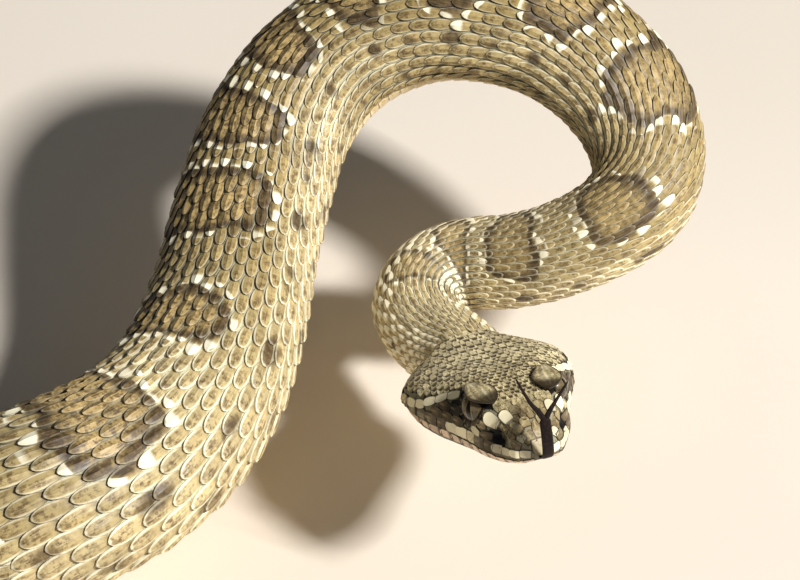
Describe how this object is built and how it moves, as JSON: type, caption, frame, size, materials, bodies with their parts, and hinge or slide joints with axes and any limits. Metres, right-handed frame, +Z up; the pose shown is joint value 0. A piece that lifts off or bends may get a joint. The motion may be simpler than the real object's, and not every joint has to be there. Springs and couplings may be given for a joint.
{
  "type": "prairie rattlesnake in its raised defensive coil",
  "caption": "Life-size rattlesnake lying in a flat coil with its neck raised in an S, head level, tongue out and rattle up.",
  "frame": {"origin": "middle of the bottom of the model's box, on the floor", "axes": "+Z up from the floor; the head looks towards -Y and a little to +X"},
  "size_m": [0.2833, 0.2931, 0.081],
  "materials": {
    "scales": "dry keeled scales, satin",
    "throat": "smooth pale scales, satin",
    "eye": "wet gloss with an upright slit pupil",
    "tongue": "wet black",
    "rattle": "dry horn"
  },
  "bodies": {
    "root": {"head": "scales", "lower_jaw": "throat", "eye_left": "eye", "eye_right": "eye", "tongue": "tongue", "neck": "scales", "neck_base": "scales", "trunk_12": "scales", "trunk_11": "scales", "trunk_10": "scales", "trunk_09": "scales", "trunk_08": "scales", "trunk_07": "scales", "trunk_06": "scales", "trunk_05": "scales", "trunk_04": "scales", "trunk_03": "scales", "trunk_02": "scales", "trunk_01": "scales", "tail": "scales", "rattle": "rattle"}
  },
  "joints": []
}
